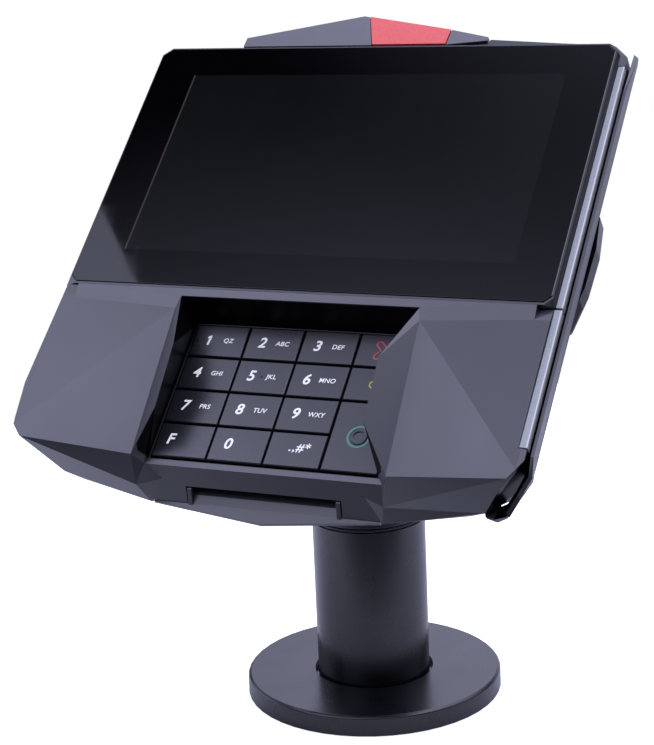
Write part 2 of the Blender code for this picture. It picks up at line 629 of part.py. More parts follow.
def make_case_screws(head):
    """The four screws that hold the rear casing to the front, in counterbores."""
    casing = bpy.data.objects["rear_casing"]
    places = [(-88.0, 40.0, -21.5), (88.0, 40.0, -21.5), (-84.0, -112.0, -33.4), (84.0, -112.0, -33.4)]
    for index, (x, y, back) in enumerate(places, 1):
        well = rod("cut_case_screw_%d" % index, [(3.4, back - 3), (3.4, back + 1.4), (1.9, back + 1.41),
                                                 (1.9, back + 8)],
                   SMALL_SEGMENTS, None, head, (x, y, 0.0))
        cut(casing, well)
        rod("case_screw_%d" % index, [(2.9, back - 0.2), (3.0, back + 1.1), (1.5, back + 1.11),
                                      (1.5, back + 7.0)],
            SMALL_SEGMENTS, "steel", head, (x, y, 0.0))


# ---------------------------------------------------------------- status lamp on the top edge

def make_lamp(head):
    """A low peaked housing that leans back from the glass, with a red lens right of its peak."""
    def lean(outline):
        return [(x, y, -0.8 - 0.2 * (y - 66.9)) for x, y in outline]

    outline = [(-67.0, 66.9), (30.4, 66.9), (47.6, 69.2), (47.4, 71.8), (29.4, 77.3), (-15.4, 88.4),
               (-67.6, 73.4)]
    back = [(x * 0.96 - 0.4, 66.9 + (y - 66.9) * 0.55) for x, y in outline]
    housing = loft("lamp_housing", [at_height(back, -16.0), at_height(outline, -9.0), lean(outline)],
                   "case_grey", head)
    pocket = [(-2.3, 60.0), (29.9, 60.0), (29.0, 80.0), (-14.1, 92.0)]
    cut(housing, prism("cut_lamp_pocket", pocket, -8.0, 5.0, None, head))
    lens = [(-12.3, 87.7), (28.8, 77.4), (29.3, 67.2), (-4.6, 67.2)]
    lens_back = [(x, y - 0.3) if y > 70 else (x, y) for x, y in lens]
    loft("lamp_lens", [at_height(lens_back, -7.7), [(x, y, z + 0.3) for x, y, z in lean(lens)]], "lamp_red",
         head)


# ---------------------------------------------------------------- stand

def make_base():
    rod("foot_pad", [(54.0, 0.0), (54.0, 1.4)], SEGMENTS, "rubber")
    rod("base_plate", [(53.6, 1.7), (53.6, 5.4)], SEGMENTS, "steel")
    turned("base_cover", [(BASE_R_LOW, 0.3), (BASE_R_LOW - 0.1, BASE_H - 1.0), (BASE_R_TOP - 0.2, BASE_H),
                          (BASE_HOLE_R, BASE_H), (BASE_HOLE_R, 7.0), (55.0, 7.0), (55.0, 0.3)],
           SEGMENTS, "stand_black")


def make_pole():
    turned("pole_tube", [(POLE_R, 5.7), (POLE_R, POLE_TOP), (POLE_R - POLE_WALL, POLE_TOP),
                         (POLE_R - POLE_WALL, 5.7)],
           SEGMENTS, "stand_black")
    rod("pole_spigot", [(22.1, 5.7), (22.1, 26.0), (20.5, 27.0)], SEGMENTS, "steel")
    rod("pole_lock_screw", [(3.0, 22.6), (3.0, 25.6)], SMALL_SEGMENTS, "steel", None, (0, 0, 16.0), "Y")
    cut(bpy.data.objects["pole_tube"],
        rod("cut_lock_screw", [(3.35, 15.0), (3.35, 30.0)], SMALL_SEGMENTS, None, None, (0, 0, 16.0), "Y"))
    turned("swivel_bush", [(22.15, 60.0), (22.15, POLE_TOP + GAP), (24.8, POLE_TOP + GAP),
                           (24.8, POLE_TOP + 1.6),
                           (SPIGOT_R + 0.25, POLE_TOP + 1.6), (SPIGOT_R + 0.25, 60.0)], SEGMENTS, "nylon")


def make_swivel_post():
    low = POLE_TOP + 1.9
    turned("swivel_post", [(SPIGOT_R, 60.0), (SPIGOT_R, low), (POLE_R, low), (POLE_R, SWIVEL_TOP),
                           (17.0, SWIVEL_TOP), (17.0, 60.0)], SEGMENTS, "stand_black")
    turned("swivel_retainer", [(22.0, 57.4), (22.0, 59.7), (10.0, 59.7), (10.0, 57.4)], SEGMENTS, "steel")


def make_yoke():
    """A disc that closes the post, with two arms for the tilt bolt."""
    disc = SWIVEL_TOP + GAP
    yoke = rod("tilt_yoke", [(POLE_R, disc), (POLE_R, disc + 5.0), (POLE_R - 1.5, disc + 6.5)], SEGMENTS,
               "stand_black")
    for index, side in enumerate((-1, 1)):
        x0, x1 = sorted((side * YOKE_IN, side * YOKE_OUT))
        arc = [(KNUCKLE_R * math.cos(math.radians(t)), PIVOT_Z + KNUCKLE_R * math.sin(math.radians(t)))
               for t in range(0, 181, 15)]
        outline = [(-13.0, disc + 3.0), (13.0, disc + 3.0)] + arc
        arm = loft("join_yoke_arm_%d" % index, [[(x, y, z) for y, z in outline] for x in (x0, x1)])
        fuse(yoke, arm)
    cut(yoke, rod("cut_yoke_bore", [(BOLT_R + 0.3, -40.0), (BOLT_R + 0.3, 40.0)], SMALL_SEGMENTS, None,
                  None,
                  (0, PIVOT_Y, PIVOT_Z), "X"))
    pivot = (0, PIVOT_Y, PIVOT_Z)
    rod("tilt_bolt", [(7.0, -24.2), (7.4, -20.2), (BOLT_R, -20.15), (BOLT_R, 26.0)], SMALL_SEGMENTS,
        "steel",
        None, pivot, "X")
    turned("tilt_nut", [(BOLT_R + 0.15, 20.2), (7.2, 20.2), (7.2, 24.6), (BOLT_R + 0.15, 24.6)], 18,
           "steel", None, pivot, "X")
    for name, side in (("friction_washer_left", -1), ("friction_washer_right", 1)):
        near, far = sorted((side * (KNUCKLE_HALF_X + GAP), side * (YOKE_IN - GAP)))
        turned(name, [(BOLT_R + 0.4, near), (10.0, near), (10.0, far), (BOLT_R + 0.4, far)], SMALL_SEGMENTS,
               "nylon",
               None, pivot, "X")


def make_mounting_plate(head):
    """The plate on the back of the head, with the knuckle that the tilt bolt goes through."""
    pivot_y = pivot_in_head()[1]
    plate = prism("mounting_plate", chamfered(42.0, pivot_y - 28.0, pivot_y + 21.0, 5.0, 5.0), -37.3, -34.3,
                  "stand_black", head)
    arc = [(pivot_y + KNUCKLE_R * math.cos(math.radians(t)),
            -PIVOT_DEPTH + KNUCKLE_R * math.sin(math.radians(t)))
           for t in range(180, 361, 15)]
    outline = arc + [(pivot_y + 14.0, -36.0), (pivot_y - 14.0, -36.0)]
    knuckle = loft("join_knuckle", [[(x, y, z) for y, z in outline] for x in (-KNUCKLE_HALF_X,
                                                                              KNUCKLE_HALF_X)],
                   None, head)
    fuse(plate, knuckle)
    cut(plate, rod("cut_knuckle_bore", [(BOLT_R + 0.35, -30.0), (BOLT_R + 0.35, 30.0)], SMALL_SEGMENTS,
                   None, head,
                   (0.0, pivot_y, -PIVOT_DEPTH), "X"))
    for index, side in enumerate((-1, 1), 1):
        x = side * 32.0
        cut(plate, rod("cut_plate_screw_%d" % index, [(2.4, -40.0), (2.4, -30.0)], SMALL_SEGMENTS, None,
                       head,
                       (x, pivot_y, 0.0)))
        cut(bpy.data.objects["rear_casing"],
            rod("cut_casing_screw_%d" % index, [(2.4, -36.0), (2.4, -29.0)], SMALL_SEGMENTS, None, head,
                (x, pivot_y, 0.0)))
        rod("plate_screw_%d" % index, [(4.0, -40.2), (4.2, -37.6), (2.0, -37.5), (2.0, -31.9)],
            SMALL_SEGMENTS, "steel",
            head, (x, pivot_y, 0.0))


def pivot_in_head():
    """The tilt axis in the head frame."""
    offset = Vector((0.0, PIVOT_Y, PIVOT_Z)) - GLASS_CENTRE
    return Matrix.Rotation(-HEAD_TILT, 3, "X") @ offset


def main():
    clear_scene()
    head = empty("head_frame", GLASS_CENTRE, HEAD_TILT)
    make_bezel(head)
    make_glass(head)
    make_display(head)
    make_antenna(head)
    make_main_board(head)
    make_battery(head)
    make_speaker(head)
    make_fascia(head)
    make_card_lip(head)
    make_card_reader(head)
    make_keypad(head)
    make_swipe_rail(head)
    make_light_guides(head)
    make_swipe_head(head)
    make_rear_casing(head)
    make_service_cover(head)
    make_case_screws(head)
    make_lamp(head)
    make_mounting_plate(head)
    make_base()
    make_pole()
    make_swivel_post()
    make_yoke()


main()
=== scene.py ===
"""Looks of the card payment terminal: finishes, softened edges, key legends, trim, floor, lights, camera."""

import json
import math

import bmesh
import bpy
from mathutils import Matrix, Vector


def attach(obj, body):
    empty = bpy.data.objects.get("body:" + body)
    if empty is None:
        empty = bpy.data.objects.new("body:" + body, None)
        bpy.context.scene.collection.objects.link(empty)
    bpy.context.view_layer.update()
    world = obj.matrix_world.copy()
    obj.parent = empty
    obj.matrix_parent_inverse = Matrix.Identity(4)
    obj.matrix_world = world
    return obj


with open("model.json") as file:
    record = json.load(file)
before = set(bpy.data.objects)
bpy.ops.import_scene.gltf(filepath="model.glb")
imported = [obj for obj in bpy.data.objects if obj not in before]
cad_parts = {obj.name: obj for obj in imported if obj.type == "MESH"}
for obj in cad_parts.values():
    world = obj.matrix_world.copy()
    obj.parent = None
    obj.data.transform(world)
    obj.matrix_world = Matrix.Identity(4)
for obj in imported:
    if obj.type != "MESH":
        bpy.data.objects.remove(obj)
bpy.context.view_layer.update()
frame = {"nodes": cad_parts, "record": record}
NODES = frame["nodes"]

MM = 0.001
HEAD_TILT = math.radians(42.6)
GLASS_CENTRE = Vector((0.0, -0.0155, 0.2387))
HEAD = Matrix.Translation(GLASS_CENTRE) @ Matrix.Rotation(HEAD_TILT, 4, "X")   # head frame, in metres

SCREEN_X, SCREEN_Y, SCREEN_HALF_X, SCREEN_HALF_Y = 0.8, 0.7, 86.1, 48.5
KEYPAD_X, KEY_PITCH_X, KEY_PITCH_Y, KEYS_TOP_Y, KEY_FACE = 1.6, 24.4, 15.95, -73.6, -15.2
GLASS_HALF_X = 105.4
INK_T = 0.05
BEZEL_SIDE_SHADE = 0.6


# ---------------------------------------------------------------- material tools

class Finish:
    """One procedural material, with short names for its nodes. Lengths are in millimetres."""

    def __init__(self, name, **sockets):
        self.material = bpy.data.materials.new(name)
        self.material.use_nodes = True
        self.tree = self.material.node_tree
        self.shader = self.tree.nodes["Principled BSDF"]
        for socket, value in sockets.items():
            self.shader.inputs[socket.replace("_", " ")].default_value = value
        self.place = self.mapping(self.node("ShaderNodeTexCoord").outputs["Object"], scale=(MM, MM, MM))

    def node(self, kind, **settings):
        made = self.tree.nodes.new(kind)
        for key, value in settings.items():
            setattr(made, key, value)
        return made

    def feed(self, socket, value):
        if isinstance(value, bpy.types.NodeSocket):
            self.tree.links.new(value, socket)
        else:
            socket.default_value = value

    def mapping(self, vector, location=(0, 0, 0), rotation=(0, 0, 0), scale=(1, 1, 1)):
        made = self.node("ShaderNodeMapping", vector_type="TEXTURE")
        self.feed(made.inputs["Vector"], vector)
        for socket, value in (("Location", location), ("Rotation", rotation), ("Scale", scale)):
            made.inputs[socket].default_value = value
        return made.outputs["Vector"]

    def in_head(self):
        """Places in the head frame: x across the glass, y up it, z out of it."""
        return self.mapping(self.place, GLASS_CENTRE / MM, (HEAD_TILT, 0, 0))

    def noise(self, size, vector=None, detail=2.0, roughness=0.5, stretch=None):
        if stretch:
            vector = self.mapping(vector or self.place, scale=stretch)
        made = self.node("ShaderNodeTexNoise")
        self.feed(made.inputs["Vector"], vector or self.place)
        made.inputs["Scale"].default_value = 1.0 / size
        made.inputs["Detail"].default_value = detail
        made.inputs["Roughness"].default_value = roughness
        return made.outputs["Fac"]

    def cells(self, size):
        made = self.node("ShaderNodeTexVoronoi", feature="SMOOTH_F1")
        self.feed(made.inputs["Vector"], self.place)
        made.inputs["Scale"].default_value = 1.0 / size
        return made.outputs["Distance"]

    def math(self, operation, *values):
        made = self.node("ShaderNodeMath", operation=operation)
        for socket, value in zip(made.inputs, values):
            self.feed(socket, value)
        return made.outputs["Value"]

    def ramp(self, value, low, high, to_low, to_high):
        made = self.node("ShaderNodeMapRange")
        for socket, given in zip(made.inputs, (value, low, high, to_low, to_high)):
            self.feed(socket, given)
        return made.outputs["Result"]

    def blend(self, factor, low, high):
        made = self.node("ShaderNodeMix", data_type="RGBA")
        self.feed(made.inputs["Factor"], factor)
        for socket, colour in (("A", low), ("B", high)):
            target = [s for s in made.inputs if s.name == socket and s.type == "RGBA"][0]
            self.feed(target, (*colour, 1.0) if isinstance(colour, tuple) and len(colour) == 3 else colour)
        return [s for s in made.outputs if s.type == "RGBA"][0]

    def axes(self, vector):
        made = self.node("ShaderNodeSeparateXYZ")
        self.feed(made.inputs["Vector"], vector)
        return made.outputs

    def colour(self, value):
        self.feed(self.shader.inputs["Base Color"], value)

    def roughness(self, value):
        self.feed(self.shader.inputs["Roughness"], value)

    def relief(self, *layers):
        """Bump from (height, depth in mm) layers, stacked."""
        normal = None
        for height, depth in layers:
            bump = self.node("ShaderNodeBump")
            bump.inputs["Strength"].default_value = 1.0
            bump.inputs["Distance"].default_value = depth * MM
            self.feed(bump.inputs["Height"], height)
            if normal is not None:
                self.feed(bump.inputs["Normal"], normal)
            normal = bump.outputs["Normal"]
        self.feed(self.shader.inputs["Normal"], normal)


def scaled(colour, factor):
    return tuple(channel * factor for channel in colour)


def moulded(name, colour, roughness, grain=0.45, depth=0.012, mottle=0.10, gloss=0.5):
    """Moulded plastic with a spark-eroded grain, faint flow mottling and slightly uneven sheen."""
    f = Finish(name, Specular_IOR_Level=gloss)
    flow = f.noise(34.0, detail=3.0, stretch=(1.0, 1.6, 1.0))
    fine = f.noise(grain, detail=3.0, roughness=0.6)
    dark, light = scaled(colour, 1 - mottle), scaled(colour, 1 + mottle)
    f.colour(f.blend(f.ramp(flow, 0.3, 0.7, 0.0, 1.0), dark, light))
    f.roughness(f.math("ADD", f.ramp(flow, 0.3, 0.7, roughness - 0.03, roughness + 0.03),
                       f.ramp(fine, 0.3, 0.7, -0.03, 0.03)))
    f.relief((fine, depth), (f.noise(2.2, detail=2.0), depth * 0.8))
    return f.material


def case_plastic(colour, roughness, gloss):
    """Grey case moulding with painted shade: near-black on the walls inside the keypad recess and swipe
    channel, and darker on the bezel side.
    """
    f = Finish("case_grey_moulded")
    x, y, z = f.axes(f.in_head())
    normal = f.node("ShaderNodeTexCoord").outputs["Normal"]

    def faces(axis, sign):
        toward = f.node("ShaderNodeVectorMath", operation="DOT_PRODUCT")
        f.feed(toward.inputs[0], normal)
        toward.inputs[1].default_value = HEAD.to_3x3() @ Vector(axis) * sign
        return f.ramp(toward.outputs["Value"], 0.30, 0.45, 0.0, 1.0)

    def within(value, low, high):
        return f.math("MULTIPLY", f.ramp(value, low - 0.1, low + 0.1, 0.0, 1.0),
                      f.ramp(value, high - 0.1, high + 0.1, 1.0, 0.0))

    def all_of(first, *others):
        for other in others:
            first = f.math("MULTIPLY", first, other)
        return first

    keys_long = within(y, -138.4, -69.9)
    left_wall = all_of(faces((1, 0, 0), 1), within(x, KEYPAD_X - 52.0, KEYPAD_X - 42.0), keys_long)
    right_wall = all_of(faces((1, 0, 0), -1), within(x, KEYPAD_X + 42.0, KEYPAD_X + 52.0), keys_long)
    top_wall = all_of(faces((0, 1, 0), -1), within(y, -73.6, -69.9),
                      within(x, KEYPAD_X - 52.0, KEYPAD_X + 52.0), within(z, -40, -1.2))
    rail_inside = all_of(faces((1, 0, 0), -1), within(x, 98.0, 113.5), within(z, -30.0, -0.5))
    channel_side = all_of(faces((1, 0, 0), 1), within(x, 96.0, 109.8), within(z, -24.0, -4.6))
    channel_floor = all_of(faces((0, 0, 1), 1), within(x, 96.5, 111.5), within(z, -27.5, -12.8))
    bezel_side = all_of(faces((1, 0, 0), 1), within(x, 105.0, 108.9), within(y, -66.4, 66.4),
                        within(z, -4.4, 1.0))
    # Painted shade: near-black on the walls inside the keypad recess and swipe channel, and partly darker on
    # the bezel side.
    painted_shade = f.math("MULTIPLY", bezel_side, BEZEL_SIDE_SHADE)
    for wall in (left_wall, right_wall, top_wall, rail_inside, channel_side, channel_floor):
        painted_shade = f.math("MAXIMUM", painted_shade, wall)

    flow = f.noise(34.0, detail=3.0, stretch=(1.0, 1.6, 1.0))
    fine = f.noise(0.45, detail=3.0, roughness=0.6)
    grey = f.blend(f.ramp(flow, 0.3, 0.7, 0.0, 1.0), scaled(colour, 0.93), scaled(colour, 1.07))
    f.colour(f.blend(painted_shade, grey, (0.0025, 0.0025, 0.0030)))
    f.roughness(f.math("ADD", f.ramp(flow, 0.3, 0.7, roughness - 0.03, roughness + 0.03),
                       f.ramp(fine, 0.3, 0.7, -0.03, 0.03)))
    # The painted shade also dulls the gloss on those walls.
    f.feed(f.shader.inputs["Specular IOR Level"], f.ramp(painted_shade, 0.0, 1.0, gloss, 0.12))
    f.relief((fine, 0.010), (f.noise(2.2, detail=2.0), 0.008))
    return f.material


def powder_coat(name, colour, roughness, gloss=0.5):
    """Sprayed powder on metal: fine orange peel with a slightly blotchy sheen."""
    f = Finish(name, Specular_IOR_Level=gloss)
    peel, fine = f.noise(0.9, detail=2.0), f.noise(0.28, detail=2.0)
    blotch = f.noise(22.0, detail=2.0)
    f.colour(f.blend(f.ramp(blotch, 0.3, 0.7, 0.0, 1.0), scaled(colour, 0.88), scaled(colour, 1.12)))
    f.roughness(f.math("ADD", f.ramp(blotch, 0.3, 0.7, roughness - 0.03, roughness + 0.03),
                       f.ramp(peel, 0.3, 0.7, -0.012, 0.012)))
    f.relief((peel, 0.0012), (fine, 0.0005))
    return f.material


def metal(name, colour, roughness, stretch=(1.0, 12.0, 1.0)):
    """Plain machined steel: fine drawn lines and a few dull patches."""
    f = Finish(name, Metallic=1.0)
    lines, dull = f.noise(0.25, detail=3.0, stretch=stretch), f.noise(6.0, detail=3.0)
    f.colour(f.blend(f.ramp(lines, 0.3, 0.7, 0.0, 1.0), scaled(colour, 0.85), scaled(colour, 1.1)))
    f.roughness(f.math("ADD", f.ramp(dull, 0.3, 0.7, roughness - 0.06, roughness + 0.08),
                       f.ramp(lines, 0.3, 0.7, -0.05, 0.05)))
    f.relief((lines, 0.004))
    return f.material


def cover_glass():
    """Black-backed cover glass. The unlit display is a paler field with a thin warm left edge, and a painted
    highlight runs along the glass's right edge."""
    f = Finish("cover_glass", IOR=1.45)
    x, y, _ = f.axes(f.in_head())
    across = f.math("ABSOLUTE", f.math("SUBTRACT", x, SCREEN_X))
    along = f.math("ABSOLUTE", f.math("SUBTRACT", y, SCREEN_Y))
    inside = f.math("MULTIPLY", f.ramp(across, SCREEN_HALF_X - 0.15, SCREEN_HALF_X + 0.15, 1.0, 0.0),
                    f.ramp(along, SCREEN_HALF_Y - 0.15, SCREEN_HALF_Y + 0.15, 1.0, 0.0))
    left = SCREEN_X - SCREEN_HALF_X
    line = f.math("MULTIPLY", inside, f.ramp(x, left + 0.5, left + 0.9, 1.0, 0.0))
    cloud = f.noise(60.0, detail=2.0)
    field = f.blend(f.ramp(cloud, 0.3, 0.7, 0.0, 1.0), (0.0048, 0.0054, 0.0050), (0.0062, 0.0070, 0.0064))
    shown = f.blend(inside, (0.0012, 0.0010, 0.0014), field)
    shown = f.blend(line, shown, (0.060, 0.050, 0.040))
    # Painted highlight: a thin pale line along the right edge of the glass.
    painted_edge_highlight = f.ramp(x, GLASS_HALF_X - 0.45, GLASS_HALF_X - 0.25, 0.0, 1.0)
    f.colour(f.blend(painted_edge_highlight, shown, (0.20, 0.19, 0.17)))
    smear = f.noise(9.0, detail=4.0, roughness=0.65, stretch=(1.0, 2.2, 1.0))
    f.roughness(f.math("ADD", f.ramp(smear, 0.45, 0.75, 0.035, 0.075), f.math("MULTIPLY", inside, 0.015)))
    return f.material


def light_guide():
    """Frosted acrylic with a painted highlight along its outer edge."""
    f = Finish("light_guide", IOR=1.49, Transmission_Weight=0.15)
    x, _, z = f.axes(f.in_head())
    frost = f.noise(0.6, detail=3.0)
    base = f.blend(f.ramp(frost, 0.3, 0.7, 0.0, 1.0), (0.42, 0.46, 0.44), (0.50, 0.54, 0.52))
    # Painted highlight: the outer edge is lightened towards white.
    f.colour(f.blend(f.ramp(x, 109.0, 109.5, 0.0, 1.0), base, (0.92, 0.94, 0.86)))
    f.roughness(f.ramp(frost, 0.3, 0.7, 0.26, 0.40))
    f.relief((frost, 0.01))
    return f.material


def lens_red():
    """A frosted red lens with a faint moulded diffuser pattern under a satin face."""
    f = Finish("lens_red", IOR=1.49, Subsurface_Weight=0.25, Subsurface_Scale=0.002)
    f.shader.inputs["Subsurface Radius"].default_value = (1.0, 0.25, 0.2)
    cells, frost = f.cells(1.4), f.noise(0.5, detail=2.0)
    f.colour(f.blend(f.ramp(cells, 0.1, 0.6, 0.0, 1.0), (0.86, 0.098, 0.078), (0.78, 0.080, 0.062)))
    f.roughness(f.ramp(frost, 0.3, 0.7, 0.34, 0.46))
    f.relief((cells, 0.02), (frost, 0.006))
    return f.material


def circuit_board():
    """Green solder mask over copper tracks."""
    f = Finish("circuit_board")
    x, y, _ = f.axes(f.in_head())
    wander = f.noise(14.0, detail=1.0)
    track = f.math("FRACT", f.math("ADD", f.math("MULTIPLY", x, 0.5), f.math("MULTIPLY", wander, 4.0)))
    copper = f.ramp(f.math("ABSOLUTE", f.math("SUBTRACT", track, 0.5)), 0.18, 0.22, 0.0, 1.0)
    f.colour(f.blend(copper, (0.018, 0.13, 0.05), (0.010, 0.075, 0.030)))
    f.roughness(f.ramp(copper, 0.0, 1.0, 0.35, 0.5))
    f.relief((copper, 0.03))
    return f.material


def soft_rubber(name, colour, roughness):
    f = Finish(name)
    dust, skin = f.noise(5.0, detail=4.0, roughness=0.7), f.noise(0.5, detail=2.0)
    f.colour(f.blend(f.ramp(dust, 0.4, 0.75, 0.0, 1.0), colour, scaled(colour, 1.8)))
    f.roughness(f.ramp(dust, 0.3, 0.7, roughness - 0.05, roughness + 0.08))
    f.relief((skin, 0.02))
    return f.material


def ink(name, colour, glow=0.0):
    """Legend ink with slight wear. A faint glow keeps the white legends readable in the recess's shade."""
    f = Finish(name, Emission_Strength=glow)
    f.shader.inputs["Emission Color"].default_value = (1.0, 1.0, 1.0, 1.0)
    wear = f.noise(0.8, detail=4.0, roughness=0.7)
    f.colour(f.blend(f.ramp(wear, 0.62, 0.8, 0.0, 1.0), colour, scaled(colour, 0.6)))
    f.roughness(f.ramp(wear, 0.3, 0.7, 0.45, 0.6))
    return f.material


FINISHES = {
    "case_grey": case_plastic((0.038, 0.040, 0.044), 0.36, 0.9),
    "case_black": moulded("case_black_moulded", (0.010, 0.010, 0.012), 0.42),
    "screen_glass": cover_glass(),
    "display": moulded("display_stack", (0.006, 0.006, 0.008), 0.25, depth=0.002),
    "key_grey": moulded("key_grey_moulded", (0.014, 0.016, 0.018), 0.30, 0.35, 0.010, gloss=0.9),
    "light_guide": light_guide(),
    "lamp_red": lens_red(),
    "circuit_green": circuit_board(),
    "silicone": soft_rubber("silicone_black", (0.012, 0.012, 0.014), 0.6),
    "steel": metal("steel_plain", (0.50, 0.50, 0.52), 0.32),
    "stand_black": powder_coat("stand_powder_coat", (0.0035, 0.0038, 0.0050), 0.28, gloss=0.65),
    "nylon": moulded("bearing_nylon", (0.012, 0.012, 0.013), 0.50),
    "rubber": soft_rubber("foot_rubber", (0.010, 0.010, 0.010), 0.75),
}
INK_WHITE = ink("legend_white", (0.90, 0.91, 0.86), 0.22)
INK_RED = ink("legend_red", (0.72, 0.085, 0.075))
INK_YELLOW = ink("legend_yellow", (0.62, 0.55, 0.05))
INK_GREEN = ink("legend_green", (0.10, 0.34, 0.24))


# ---------------------------------------------------------------- CAD nodes: finishes and softened edges

def smoothing_group():
    """Geometry nodes that drop stored normals and shade all but the steep edges smoothly."""
    group = bpy.data.node_groups.new("smooth_walls", "GeometryNodeTree")
    group.interface.new_socket("Geometry", in_out="INPUT", socket_type="NodeSocketGeometry")
    group.interface.new_socket("Geometry", in_out="OUTPUT", socket_type="NodeSocketGeometry")
    nodes, links = group.nodes, group.links
    start, end = nodes.new("NodeGroupInput"), nodes.new("NodeGroupOutput")
    plain = nodes.new("GeometryNodeRemoveAttribute")
    plain.inputs["Name"].default_value = "custom_normal"
    smooth = nodes.new("GeometryNodeSetShadeSmooth")
    angle = nodes.new("GeometryNodeInputMeshEdgeAngle")
    steep = nodes.new("ShaderNodeMath")
    steep.operation = "GREATER_THAN"
    steep.inputs[1].default_value = math.radians(50)
    crease = nodes.new("GeometryNodeSetShadeSmooth")
    crease.domain = "EDGE"
    crease.inputs["Shade Smooth"].default_value = False
    links.new(start.outputs[0], plain.inputs["Geometry"])
    links.new(plain.outputs[0], smooth.inputs["Geometry"])
    links.new(smooth.outputs[0], crease.inputs["Geometry"])
    links.new(angle.outputs["Unsigned Angle"], steep.inputs[0])
    links.new(steep.outputs[0], crease.inputs["Selection"])
    links.new(crease.outputs[0], end.inputs[0])
    return group


SMOOTH_WALLS = smoothing_group()
NO_BEVEL = {"main_board", "contactless_antenna", "keypad_board", "keypad_mat", "keypad_guide_plate",
            "display_panel"}
FACETED = {"keypad_fascia": 0.35, "screen_bezel": 0.22, "rear_casing": 0.7, "lamp_housing": 0.35,
           "lamp_lens": 0.25, "swipe_rail": 0.2, "card_slot_lip": 0.3}
ROUND = {"base_cover": 0.35, "pole_tube": 0.25, "swivel_post": 0.4, "tilt_yoke": 0.6, "mounting_plate": 0.6}


def soften(node):
    """Rounds a node's edges. Facets meet at shallow angles, so faceted nodes round from a smaller one."""
    obj = NODES[node]
    weld = obj.modifiers.new("weld", "WELD")
    weld.merge_threshold = 1e-6
    flat = obj.modifiers.new("flat_faces", "DECIMATE")
    flat.decimate_type = "DISSOLVE"
    flat.angle_limit = math.radians(0.3)
    if node not in NO_BEVEL:
        bevel = obj.modifiers.new("soft_edges", "BEVEL")
        bevel.width = FACETED.get(node, ROUND.get(node, 0.10 if node.startswith("key_") else 0.25)) * MM
        bevel.segments = 2
        bevel.limit_method = "ANGLE"
        bevel.angle_limit = math.radians(4 if node in FACETED else 24)
        bevel.use_clamp_overlap = True
    shade = obj.modifiers.new("smooth_walls", "NODES")
    shade.node_group = SMOOTH_WALLS
    weighted = obj.modifiers.new("flat_faces_first", "WEIGHTED_NORMAL")
    weighted.keep_sharp = True


def finish_nodes():
    slots = {part["node"]: part["material_slot"] for part in frame["record"]["subparts"]}
    for node, obj in NODES.items():
        for slot in obj.material_slots:
            slot.material = FINISHES[slots[node]]
        soften(node)


finish_nodes()


# ---------------------------------------------------------------- key legends

def key_centre(column, row, rows=1):
    return KEYPAD_X + (column - 1.5) * KEY_PITCH_X, KEYS_TOP_Y - (row + rows / 2) * KEY_PITCH_Y


def print_on(piece, body, x, y, z, finish):
    """Lays a flat piece on the head at a head-frame place in millimetres, riding on a body."""
    piece.matrix_world = HEAD @ Matrix.Translation(Vector((x, y, z)) * MM)
    piece.data.materials.append(finish)
    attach(piece, body)
    return piece


def legend(name, text, size, body, x, y, lean=0.15, weight=0.021, spacing=1.0):
    data = bpy.data.curves.new(name, "FONT")
    data.body = text
    data.size = size * MM
    data.align_x, data.align_y = "CENTER", "CENTER"
    data.shear = lean
    data.space_character = spacing
    data.offset = weight * size * MM
    data.extrude = INK_T / 2 * MM
    data.resolution_u = 6
    made = bpy.data.objects.new(name, data)
    bpy.context.scene.collection.objects.link(made)
    return print_on(made, body, x, y, KEY_FACE + INK_T / 2, INK_WHITE)


def closed_object(name, bm):
    """Turns a finished bmesh into a linked object with outward normals."""
    bmesh.ops.recalc_face_normals(bm, faces=bm.faces)
    mesh = bpy.data.meshes.new(name)
    bm.to_mesh(mesh)
    bm.free()
    made = bpy.data.objects.new(name, mesh)
    bpy.context.scene.collection.objects.link(made)
    return made


def plate(name, outlines, body, x, y, z, finish, rise=INK_T):
    """Flat shapes through corner points, raised by the given height from a head-frame place."""
    bm = bmesh.new()
    faces = [bm.faces.new([bm.verts.new((px * MM, py * MM, 0)) for px, py in points]) for points in outlines]
    grown = bmesh.ops.extrude_face_region(bm, geom=faces)["geom"]
    raised = [vertex for vertex in grown if isinstance(vertex, bmesh.types.BMVert)]
    bmesh.ops.translate(bm, vec=(0, 0, rise * MM), verts=raised)
    return print_on(closed_object(name, bm), body, x, y, z, finish)


def outline(name, points, width, body, x, y, finish, closed=True, height=0.12):
    """A raised line of the given width through points, on the key face."""
    bm = bmesh.new()
    count = len(points)
    rails = []
    for i, point in enumerate(points):
        here = Vector(point)
        before = Vector(points[i - 1]) if closed or i else here
        after = Vector(points[(i + 1) % count]) if closed or i < count - 1 else here
        along = (after - before).normalized()
        side = Vector((-along.y, along.x)) * width / 2
        rails.append([(here + side, 0), (here + side, height * 0.7), (here + side * 0.6, height),
                      (here - side * 0.6, height), (here - side, height * 0.7), (here - side, 0)])
    rows = [[bm.verts.new((p.x * MM, p.y * MM, z * MM)) for p, z in rail] for rail in rails]
    for i in range(count if closed else count - 1):
        a, b = rows[i], rows[(i + 1) % count]
        for k in range(6):
            m = (k + 1) % 6
            bm.faces.new((a[k], b[k], b[m], a[m]))
    if not closed:
        bm.faces.new(rows[0][::-1])
        bm.faces.new(rows[-1])
    return print_on(closed_object(name, bm), body, x, y, KEY_FACE, finish)


def arc(radius, start, end, steps, centre=(0, 0)):
    turns = [math.radians(start + (end - start) * i / steps) for i in range(steps + 1)]
    return [(centre[0] + radius * math.cos(turn), centre[1] + radius * math.sin(turn)) for turn in turns]


